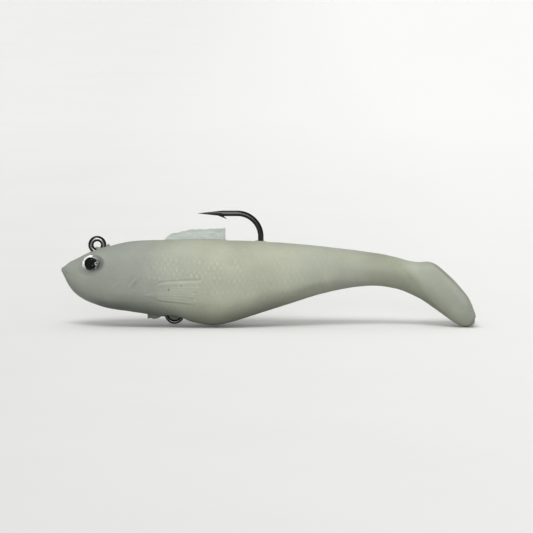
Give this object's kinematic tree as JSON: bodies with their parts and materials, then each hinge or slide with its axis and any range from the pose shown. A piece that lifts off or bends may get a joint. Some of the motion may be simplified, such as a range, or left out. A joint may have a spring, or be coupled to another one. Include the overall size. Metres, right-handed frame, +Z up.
{
  "type": "swimbait",
  "caption": "Soft paddle-tail fishing lure with an internal lead ballast, a fixed upward jig hook, a line-tie eye and a wire hanger under the belly.",
  "frame": {"origin": "centre of the line-tie eye on top of the head, in the lure's middle plane", "axes": "+X from the snout towards the tail along the lure's length, +Y across the lure to its right side and along the line-tie bore, +Z up, towards the hook point"},
  "size_m": [0.1269, 0.0176, 0.0357],
  "materials": {
    "soft_plastic": "satin soft vinyl, pearl grey green",
    "fin_web": "thin soft vinyl web",
    "black_nickel": "black nickel plated wire",
    "hanger_wire": "dark plated wire",
    "lead": "cast lead",
    "silver_foil": "bright foil",
    "pupil_black": "gloss black",
    "clear_lens": "clear domed resin"
  },
  "bodies": {
    "trunk": {"body_moulding": "soft_plastic", "pelvic_fin": "fin_web", "hanger_flash": "fin_web", "jig_hook": "black_nickel", "belly_hanger": "hanger_wire", "ballast_weight": "lead", "eye_foil_left": "silver_foil", "eye_foil_right": "silver_foil", "pupil_left": "pupil_black", "pupil_right": "pupil_black", "eye_dome_left": "clear_lens", "eye_dome_right": "clear_lens"},
    "stem": {"tail_stem": "soft_plastic"},
    "paddle": {"tail_paddle": "soft_plastic"},
    "fin": {"dorsal_fin": "fin_web"}
  },
  "joints": [
    {"name": "tail_flex", "type": "hinge", "parent": "trunk", "child": "stem", "pos_m": [0.0677, 0, -0.008], "axis": [0, 0, 1], "range_deg": [-30, 30], "stiffness_Nm_per_rad": 0.006},
    {"name": "paddle_flex", "type": "hinge", "parent": "stem", "child": "paddle", "pos_m": [0.0922, 0, -0.0088], "axis": [0.4226, 0, 0.9063], "range_deg": [-45, 45], "stiffness_Nm_per_rad": 0.0015},
    {"name": "dorsal_fin_fold", "type": "hinge", "parent": "trunk", "child": "fin", "pos_m": [0.0301, 0, 0.00175], "axis": [1, 0, 0], "range_deg": [-60, 60], "stiffness_Nm_per_rad": 0.00001}
  ]
}
